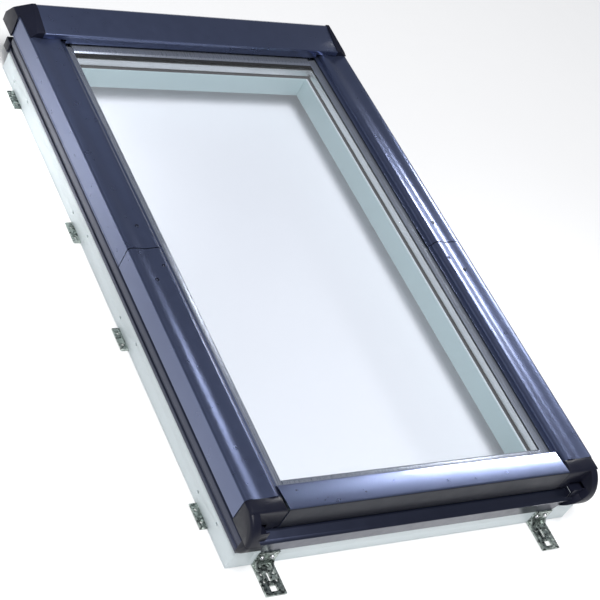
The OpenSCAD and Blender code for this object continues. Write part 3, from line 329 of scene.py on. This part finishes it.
def make_finishes():
    """One material for each of the record's slots."""
    tones = colours()
    return {
        "white_paint": painted_timber("white_timber_paint", tones.timber),
        "cover_paint": coated_metal("cover_coating", tones.cover, 0.30, 0.5),
        "rail_paint": coated_metal("rail_coating", tones.rail, 0.34, 0.4),
        "black_plastic": moulded_plastic("cap_plastic", tones.plastic),
        "grey_plastic": moulded_plastic("carrier_plastic", (0.05, 0.05, 0.055), 0.5),
        "seal_rubber": rubber("seal_rubber"),
        "bead_metal": drawn_metal("bead_coating", tones.bead, 0.28, metallic=0.7),
        "zinc_steel": galvanised("zinc_coated_steel", (0.40, 0.45, 0.42), 0.36),
        "screw_steel": drawn_metal("screw_zinc", (0.55, 0.56, 0.58), 0.3, (1, 1, 1)),
        "hinge_steel": drawn_metal("fitting_zinc", (0.5, 0.51, 0.54), 0.34, (1, 1, 1)),
        "spacer_metal": drawn_metal("spacer_aluminium", (0.62, 0.65, 0.66), 0.36),
        # painted light: a darker green-grey for the sash's faces round the light well, standing for the glass's
        # green and the shade there, not a real paint
        "rebate_painted_tint_and_shade": painted_timber("rebate_painted_tint_and_shade", (0.46, 0.60, 0.60)),
        "clear_glass": pane_glass("float_glass", tones.glass),
        "glass_edge": ground_glass("float_glass_edge", (0.16, 0.38, 0.34)),
        # painted shade: the covers' coating darkened for the front of the sash's bottom cover, where the real sheet
        # has the covers' one colour
        "cover_front_painted_shade": coated_metal("cover_coating_shaded", shade(tones.cover, 0.1), 0.4, 0.02, 0.5),
        "handle_metal": drawn_metal("handle_anodised", (0.62, 0.63, 0.65), 0.3, (0.1, 6, 6)),
    }


FINISHES = {}


def finish_for(slot):
    if not FINISHES:
        FINISHES.update(make_finishes())
    return FINISHES[slot]


# ---- modelling by operators ----

def only(piece):
    """Selects one object and nothing else."""
    bpy.ops.object.select_all(action="DESELECT")
    piece.select_set(True)
    bpy.context.view_layer.objects.active = piece


def edit(piece, select="SELECT"):
    only(piece)
    bpy.ops.object.mode_set(mode="EDIT")
    bpy.ops.mesh.select_mode(type="VERT")
    bpy.ops.mesh.select_all(action=select)


def leave():
    bpy.ops.object.mode_set(mode="OBJECT")


def settle(piece):
    """Moves the object's place into its mesh."""
    only(piece)
    bpy.ops.object.transform_apply(location=True, rotation=True, scale=True)


def modify(piece, kind, **values):
    """Adds a modifier, sets it and applies it."""
    only(piece)
    step = piece.modifiers.new(kind.lower(), kind)
    for key, value in values.items():
        setattr(step, key, value)
    bpy.ops.object.modifier_apply(modifier=step.name)


def round_edges(piece, width, segments=3, angle=32):
    modify(piece, "BEVEL", width=width, segments=segments, limit_method="ANGLE",
           angle_limit=math.radians(angle), use_clamp_overlap=True, miter_outer="MITER_ARC", harden_normals=False)


def pick(piece, kind, test):
    """Selects the faces or edges whose middle and direction pass a test, in edit mode."""
    bpy.ops.mesh.select_all(action="DESELECT")
    bpy.ops.mesh.select_mode(type=kind)
    leave()
    mesh = piece.data
    if kind == "FACE":
        for face in mesh.polygons:
            face.select = test(face.center, face.normal)
    else:
        for edge in mesh.edges:
            a, b = (mesh.vertices[i].co for i in edge.vertices)
            edge.select = test((a + b) / 2, (b - a).normalized())
    bpy.ops.object.mode_set(mode="EDIT")


def complete(piece, name, replaced, smooth=32, slot=None, body=None):
    """Names a finished piece, smooths it, gives it its finish and hangs it on its body."""
    piece.name = piece.data.name = name
    only(piece)
    bpy.ops.object.shade_smooth_by_angle(angle=math.radians(smooth))
    slot = slot or SLOT_OF[replaced[0]]
    piece.data.materials.clear()
    piece.data.materials.append(finish_for(slot))
    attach(piece, body or BODY_OF[replaced[0]])
    for node in replaced:
        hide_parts(node)
    return piece


def mirrored(piece):
    """A copy of a piece on the other side of the middle plane, facing outwards."""
    only(piece)
    bpy.ops.object.duplicate()
    twin = bpy.context.object
    edit(twin)
    bpy.ops.transform.mirror(constraint_axis=(True, False, False), orient_type="GLOBAL", center_override=(0, 0, 0))
    bpy.ops.mesh.normals_make_consistent(inside=False)
    leave()
    return twin


def cad_copy(node):
    """A copy of a CAD node's shape with its triangles merged, ready for shaping."""
    piece = bpy.data.objects.new(node, frame["nodes"][node].data.copy())
    bpy.context.scene.collection.objects.link(piece)
    edit(piece)
    bpy.ops.mesh.remove_doubles(threshold=0.000001)
    bpy.ops.mesh.dissolve_limited(angle_limit=math.radians(0.5), delimit=set())
    leave()
    return piece


def softened(node, width, segments=3, angle=32):
    """The CAD node's own shape with its edges rounded."""
    piece = cad_copy(node)
    round_edges(piece, width, segments, angle)
    return complete(piece, node + "_finished", [node])


def drawn_line(outline):
    """A chain of edges through the points, made from one point by extruding it."""
    bpy.ops.object.select_all(action="DESELECT")
    bpy.ops.mesh.primitive_plane_add(size=MM, location=outline[0])
    piece = bpy.context.object
    edit(piece)
    bpy.ops.mesh.merge(type="CENTER")
    for here, there in zip(outline, outline[1:]):
        bpy.ops.mesh.extrude_region_move(TRANSFORM_OT_translate={"value": there - here})
    leave()
    settle(piece)
    return piece


def drawn_sheet(outline, run, thickness, fold, offset):
    """Sheet folded along an outline and drawn out along run, with rounded folds."""
    piece = drawn_line(outline)
    edit(piece)
    bpy.ops.mesh.extrude_region_move(TRANSFORM_OT_translate={"value": run})
    bpy.ops.mesh.select_all(action="SELECT")
    bpy.ops.mesh.normals_make_consistent(inside=False)
    leave()
    if fold:
        round_edges(piece, fold, 4, 20)
    modify(piece, "SOLIDIFY", thickness=thickness, offset=offset)
    edit(piece)
    bpy.ops.mesh.normals_make_consistent(inside=False)
    leave()
    return piece


def block(low, high):
    """A box between two corners, as a start for shaping."""
    low, high = Vector(low), Vector(high)
    bpy.ops.object.select_all(action="DESELECT")
    bpy.ops.mesh.primitive_cube_add(size=1, location=(low + high) / 2)
    piece = bpy.context.object
    piece.scale = high - low
    settle(piece)
    return piece


def joined(pieces):
    bpy.ops.object.select_all(action="DESELECT")
    for piece in pieces:
        piece.select_set(True)
    bpy.context.view_layer.objects.active = pieces[0]
    bpy.ops.object.join()
    return bpy.context.object


def arc(centre, radius, first, last, steps, plane):
    """Points on an arc, angles in degrees; plane places (u, v) in space."""
    turn = [math.radians(first + (last - first) * i / steps) for i in range(steps + 1)]
    return [plane(centre[0] + radius * math.cos(a), centre[1] + radius * math.sin(a)) for a in turn]


# ---- pieces ----

class Maker(bpy.types.Operator):
    """Base of the piece operators"""
    bl_options = {"REGISTER", "UNDO"}

    def execute(self, context):
        self.make(sizes())
        return {"FINISHED"}


class ROOFWINDOW_OT_timbers(Maker):
    """Rounds the edges of the painted frame and sash timbers"""
    bl_idname = "roofwindow.timbers"
    bl_label = "Timbers"

    def shade_inside(self, piece):
        """Tints the faces round the light well with painted light: a darker green-grey that stands for the green of
        the glass above them and the shade in the well. It is not the real paint, which is most likely the frame's
        white."""
        piece.data.materials.append(finish_for("rebate_painted_tint_and_shade"))
        for face in piece.data.polygons:
            inward = face.normal.x * face.center.x + face.normal.y * face.center.y < 0
            face.material_index = 1 if inward and abs(face.normal.z) < 0.75 else 0

    def make(self, size):
        for node in ("frame_left", "frame_right", "frame_top", "frame_bottom",
                     "sash_left", "sash_right", "sash_top", "sash_bottom"):
            piece = softened(node, size.timber_edge, 3)
            # the sash's faces round the light well get a painted glass tint and painted shade
            if node.startswith("sash"):
                self.shade_inside(piece)


class ROOFWINDOW_OT_glass_unit(Maker):
    """Finishes the two panes, with ground edges, and the spacer between them"""
    bl_idname = "roofwindow.glass_unit"
    bl_label = "Glass unit"

    def make(self, size):
        for node in ("inner_pane", "outer_pane"):
            pane = softened(node, size.metal_edge * 0.8, 1)
            pane.data.materials.append(finish_for("glass_edge"))
            for face in pane.data.polygons:
                face.material_index = 0 if abs(face.normal.z) > 0.9 else 1
        softened("spacer", size.metal_edge, 2)


class ROOFWINDOW_OT_beads(Maker):
    """Finishes the glazing beads"""
    bl_idname = "roofwindow.beads"
    bl_label = "Glazing beads"

    def make(self, size):
        for node in ("bead_left", "bead_right", "bead_top", "bead_bottom"):
            softened(node, size.metal_edge, 2, 20)


class ROOFWINDOW_OT_rails(Maker):
    """Finishes the flashing rails, their clips and the frame's bottom cover"""
    bl_idname = "roofwindow.rails"
    bl_label = "Flashing rails"

    def make(self, size):
        for node in ("flashing_rail_left", "flashing_rail_right", "frame_bottom_cover"):
            softened(node, size.metal_edge * 0.8, 3, 12)
        softened("rail_clips", size.plastic_edge, 3)


class ROOFWINDOW_OT_side_covers(Maker):
    """Folds the four side covers out of sheet, with a hem along the upper pair"""
    bl_idname = "roofwindow.side_covers"
    bl_label = "Side covers"

    def section(self, size, low, high, ledge_z, hem):
        """Outline of a side cover on the right, from the ledge over the top to the skirt's foot."""
        at = lambda x, z: Vector((x, 0, z))
        ridge_x, top = high.x, high.z
        inner_x = ridge_x - COVER_TOP
        hump = size.hump
        line = [at(low.x, ledge_z), at(inner_x - LEDGE_STEP_IN, ledge_z + LEDGE_STEP_UP)]
        line += arc((inner_x + hump, top - hump), hump, 172, 90, 7, at)
        start, end = inner_x + hump, ridge_x - VALLEY_IN
        for i in range(1, VALLEY_STEPS + 1):
            part = i / VALLEY_STEPS
            line.append(at(start + (end - start) * part, top - size.valley * math.sin(math.pi * part) ** 2))
        line += [at(ridge_x - CHAMFER_IN, top - CHAMFER_DOWN), at(ridge_x - SKIRT_IN, top - SKIRT_DOWN)]
        if hem:
            line += arc((ridge_x - HEM_IN, low.z + HEM_RADIUS), HEM_RADIUS, 60, -190, 10, at)
        else:
            line.append(at(ridge_x, low.z))
        return line

    def make(self, size):
        for node, hem in (("upper_cover_right", True), ("lower_cover_right", False)):
            low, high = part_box(node)
            if hem:
                high = Vector((high.x - HEM_SETBACK, high.y, high.z))
            ledge_z = low.z + (LEDGE_RISE_HEMMED if hem else LEDGE_RISE)
            outline = [p + Y * low.y for p in self.section(size, low, high, ledge_z, hem)]
            piece = drawn_sheet(outline, Y * (high.y - low.y), size.sheet, COVER_FOLD, 1.0)
            twin = mirrored(piece)
            complete(piece, node + "_sheet", [node], SHEET_SMOOTH)
            other = node.replace("right", "left")
            complete(twin, other + "_sheet", [other], SHEET_SMOOTH)


class ROOFWINDOW_OT_cover_screws(Maker):
    """Makes the heads of the side covers' screws, with round recesses"""
    bl_idname = "roofwindow.cover_screws"
    bl_label = "Cover screws"

    def head(self, place, radius, height):
        bpy.ops.object.select_all(action="DESELECT")
        bpy.ops.mesh.primitive_cylinder_add(vertices=40, radius=radius, depth=height, location=place)
        piece = bpy.context.object
        settle(piece)
        edit(piece)
        pick(piece, "FACE", lambda c, n: n.z > 0.9)
        bpy.ops.mesh.inset(thickness=radius * 0.32, depth=height * 0.35)
        bpy.ops.mesh.inset(thickness=radius * 0.30, depth=0)
        bpy.ops.mesh.inset(thickness=radius * 0.02, depth=-height * 0.8)
        leave()
        round_edges(piece, radius * 0.08, 2, 30)
        return piece

    def make(self, size):
        for node in ("upper_cover_screws", "lower_cover_screws"):
            mesh = frame["nodes"][node].data
            low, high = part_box(node)
            heads = [v.co for v in mesh.vertices if v.co.z > high.z - HEAD_REACH]
            spots = []
            for co in heads:
                if all((co - spot).to_2d().length > SCREW_APART for spot in spots):
                    spots.append(co)
            pieces = []
            for spot in spots:
                near = [co for co in heads if (co - spot).to_2d().length < SCREW_APART]
                reach = [(min(c[i] for c in near), max(c[i] for c in near)) for i in range(3)]
                middle = Vector(((reach[0][0] + reach[0][1]) / 2, (reach[1][0] + reach[1][1]) / 2,
                                 reach[2][1] - HEAD_SINK))
                pieces.append(self.head(middle, HEAD_RADIUS, HEAD_HEIGHT))
            complete(joined(pieces), node + "_heads", [node], slot="rail_paint")


class ROOFWINDOW_OT_cover_caps(Maker):
    """Rounds the caps below the side covers and the frame's corners under them"""
    bl_idname = "roofwindow.cover_caps"
    bl_label = "Cover caps and frame corners"

    def rim(self, piece, size, outer):
        """Rounds the rim of the round cheek, where its side meets its front."""
        edit(piece)
        pick(piece, "EDGE", lambda c, d: abs(abs(c.x) - outer) < 0.0002 and abs(d.x) < 0.1 and
             abs((c - Vector((c.x, CHEEK_Y, CHEEK_Z))).length - CHEEK_R) < 0.0004)
        bpy.ops.mesh.bevel(offset=size.cheek_rim, segments=6)
        leave()

    def returns(self, size):
        """Turned-in edges of the corners, which cover the ends of the side timbers' inner faces."""
        low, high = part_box("frame_right")
        plates = []
        for side in SIDES.values():
            near, far = side * (low.x - 0.1 * MM), side * (low.x - size.sheet)
            plate = block((min(near, far), low.y - 0.5 * MM, high.z - size.return_depth),
                          (max(near, far), low.y + size.return_length, high.z + 0.4 * MM))
            round_edges(plate, size.metal_edge * 0.5, 2, 40)
            plates.append(plate)
        return plates

    def make(self, size):
        for node in ("cover_cap_left", "cover_cap_right", "frame_corners"):
            piece = cad_copy(node)
            low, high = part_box(node)
            self.rim(piece, size, max(abs(low.x), abs(high.x)))
            round_edges(piece, size.plastic_edge * 0.5, 2, 40)
            if node == "frame_corners":
                piece = joined([piece] + self.returns(size))
            complete(piece, node + "_moulded", [node])


class ROOFWINDOW_OT_bottom_covers(Maker):
    """Folds the sash's bottom cover out of sheet"""
    bl_idname = "roofwindow.bottom_covers"
    bl_label = "Bottom cover"

    def make(self, size):
        low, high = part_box("sash_bottom_cover")
        at = lambda y, z: Vector((low.x, y, z))
        outline = [at(high.y, low.z + REAR_FOOT), at(high.y, high.z - REAR_FALL), at(low.y, high.z),
                   at(low.y, low.z), at(low.y + FRONT_LIP, low.z)]
        piece = drawn_sheet(outline, X * (high.x - low.x), size.sheet, size.fold, 1.0)
        complete(piece, "sash_bottom_cover_sheet", ["sash_bottom_cover"], SHEET_SMOOTH)
        # painted shade: a darker coating on the front stands for the dark that it mirrors; the real sheet has one
        # colour
        piece.data.materials.append(finish_for("cover_front_painted_shade"))
        for face in piece.data.polygons:
            face.material_index = 1 if face.normal.y < -0.7 else 0


class ROOFWINDOW_OT_hood(Maker):
    """Rounds the edges of the hood over the top end"""
    bl_idname = "roofwindow.hood"
    bl_label = "Hood"

    def make(self, size):
        softened("hood", size.metal_edge, 3, 20)


class ROOFWINDOW_OT_hood_caps(Maker):
    """Finishes the moulded ends of the hood"""
    bl_idname = "roofwindow.hood_caps"
    bl_label = "Hood caps"

    def make(self, size):
        for side in SIDES:
            softened("hood_cap_" + side, size.plastic_edge * 0.7, 3, 20)


class ROOFWINDOW_OT_mounting(Maker):
    """Finishes the brackets, side plates and their screws"""
    bl_idname = "roofwindow.mounting"
    bl_label = "Brackets and plates"

    def make(self, size):
        for node in ("bracket_left", "bracket_right", "side_plates"):
            softened(node, size.metal_edge, 2)
        softened("bracket_screws", size.metal_edge * 0.5, 2)


class ROOFWINDOW_OT_hinges(Maker):
    """Finishes the pivot hinges"""
    bl_idname = "roofwindow.hinges"
    bl_label = "Pivot hinges"

    def make(self, size):
        for side in SIDES:
            softened("hinge_track_" + side, size.metal_edge * 0.6, 2)
            softened("hinge_shoe_" + side, size.metal_edge * 0.6, 2)


class ROOFWINDOW_OT_lock(Maker):
    """Rounds the edges of the handle and the lock"""
    bl_idname = "roofwindow.lock"
    bl_label = "Lock and handle"

    def make(self, size):
        for node in ("rosette", "handle", "forend", "strikers"):
            softened(node, size.metal_edge * (1.0 if node == "forend" else 1.6), 3)


class ROOFWINDOW_OT_inner_pieces(Maker):
    """Gives the CAD pieces their finish, for those that keep their own shape"""
    bl_idname = "roofwindow.inner_pieces"
    bl_label = "Seals, carriers and inner pieces"

    def make(self, size):
        for node, thing in frame["nodes"].items():
            thing.data.materials.clear()
            thing.data.materials.append(finish_for(SLOT_OF[node]))


class ROOFWINDOW_OT_stage(bpy.types.Operator):
    """Lays the pale floor, hangs the soft lights and sets the camera"""
    bl_idname = "roofwindow.stage"
    bl_label = "Stage"

    def light(self, name, place, aim, size, power, spread=180):
        lamp = bpy.data.lights.new(name, "AREA")
        lamp.shape, lamp.size, lamp.size_y = "RECTANGLE", size[0], size[1]
        lamp.energy, lamp.spread = power, math.radians(spread)
        stand = bpy.data.objects.new(name, lamp)
        stand.location = place
        stand.rotation_euler = (Vector(aim) - Vector(place)).to_track_quat("-Z", "Y").to_euler()
        stand.visible_camera = False
        bpy.context.scene.collection.objects.link(stand)

    def execute(self, context):
        bpy.ops.object.select_all(action="DESELECT")
        bpy.ops.mesh.primitive_plane_add(size=FLOOR_SIZE, location=(0, 0, -FLOOR_DROP))
        floor = context.object
        floor.name = "studio_floor"
        settle(floor)
        edit(floor)
        bpy.ops.mesh.subdivide(number_cuts=3)
        leave()
        look = Finish("studio_floor", specular_ior_level=0.2)
        tone = colours().floor
        look.set(base_color=look.mix(look.noise(3, 2), shade(tone, 0.99), tone),
                 roughness=look.remap(look.noise(20, 2), 0.3, 0.7, 0.6, 0.7))
        floor.data.materials.append(look.material)

        world = bpy.data.worlds.new("studio")
        context.scene.world = world
        world.use_nodes = True
        tree = world.node_tree
        room, backdrop = tree.nodes["Background"], tree.nodes.new("ShaderNodeBackground")
        seen, mixed = tree.nodes.new("ShaderNodeLightPath"), tree.nodes.new("ShaderNodeMixShader")
        # the background is white to the camera only, and the room that lights and mirrors is dimmer
        room.inputs["Color"].default_value = ROOM_COLOUR
        room.inputs["Strength"].default_value = ROOM_STRENGTH
        backdrop.inputs["Strength"].default_value = 1.0
        backdrop.inputs["Color"].default_value = (1.0, 1.0, 1.0, 1.0)
        tree.links.new(seen.outputs["Is Camera Ray"], mixed.inputs[0])
        tree.links.new(room.outputs[0], mixed.inputs[1])
        tree.links.new(backdrop.outputs[0], mixed.inputs[2])
        tree.links.new(mixed.outputs[0], tree.nodes["World Output"].inputs["Surface"])
        self.light("overhead_softbox", (-2.0, -2.4, 8.0), (0, 0, 0), (5.0, 5.0), 890)
        self.light("right_panel", (2.3, 1.25, 1.5), (0.35, -0.65, 0.13), (0.8, 0.35), 1.3, 28)
        self.light("left_softbox", (-0.85, 0.5, 0.9), (-0.72, 0.45, 0), (0.2, 0.8), 1.3, 45)

        lens = bpy.data.cameras.new("camera")
        camera = bpy.data.objects.new("camera", lens)
        lens.lens, lens.sensor_width = LENS, SENSOR
        lens.shift_x, lens.shift_y = SHIFT_X, SHIFT_Y
        camera.matrix_world = Matrix.Translation(CAMERA_PLACE) @ \
            Matrix((CAMERA_RIGHT, CAMERA_UP, CAMERA_BACK)).transposed().to_4x4()
        context.scene.collection.objects.link(camera)
        context.scene.camera = camera
        context.scene.view_settings.view_transform = "Standard"
        return {"FINISHED"}


PIECES = [ROOFWINDOW_OT_inner_pieces, ROOFWINDOW_OT_timbers, ROOFWINDOW_OT_glass_unit, ROOFWINDOW_OT_beads,
          ROOFWINDOW_OT_rails, ROOFWINDOW_OT_side_covers, ROOFWINDOW_OT_cover_screws,
          ROOFWINDOW_OT_cover_caps, ROOFWINDOW_OT_bottom_covers, ROOFWINDOW_OT_hood,
          ROOFWINDOW_OT_hood_caps, ROOFWINDOW_OT_mounting,
          ROOFWINDOW_OT_hinges, ROOFWINDOW_OT_lock, ROOFWINDOW_OT_stage]


class ROOFWINDOW_PT_panel(bpy.types.Panel):
    """Lists the sizes, the colours and the pieces"""
    bl_label = "Roof Window"
    bl_idname = "ROOFWINDOW_PT_panel"
    bl_space_type = "VIEW_3D"
    bl_region_type = "UI"
    bl_category = "Roof Window"

    def draw(self, context):
        for group in (context.scene.roof_window_sizes, context.scene.roof_window_colours):
            box = self.layout.box()
            for name in group.__annotations__:
                box.prop(group, name)
        for operator in PIECES:
            self.layout.operator(operator.bl_idname)


CLASSES = [RoofWindowSizes, RoofWindowColours, *PIECES, ROOFWINDOW_PT_panel]


def register():
    for item in CLASSES:
        bpy.utils.register_class(item)
    bpy.types.Scene.roof_window_sizes = PointerProperty(type=RoofWindowSizes)
    bpy.types.Scene.roof_window_colours = PointerProperty(type=RoofWindowColours)


def unregister():
    del bpy.types.Scene.roof_window_colours
    del bpy.types.Scene.roof_window_sizes
    for item in reversed(CLASSES):
        bpy.utils.unregister_class(item)


def main():
    register()
    for operator in PIECES:
        group, name = operator.bl_idname.split(".")
        getattr(getattr(bpy.ops, group), name)()


if __name__ == "__main__":
    main()
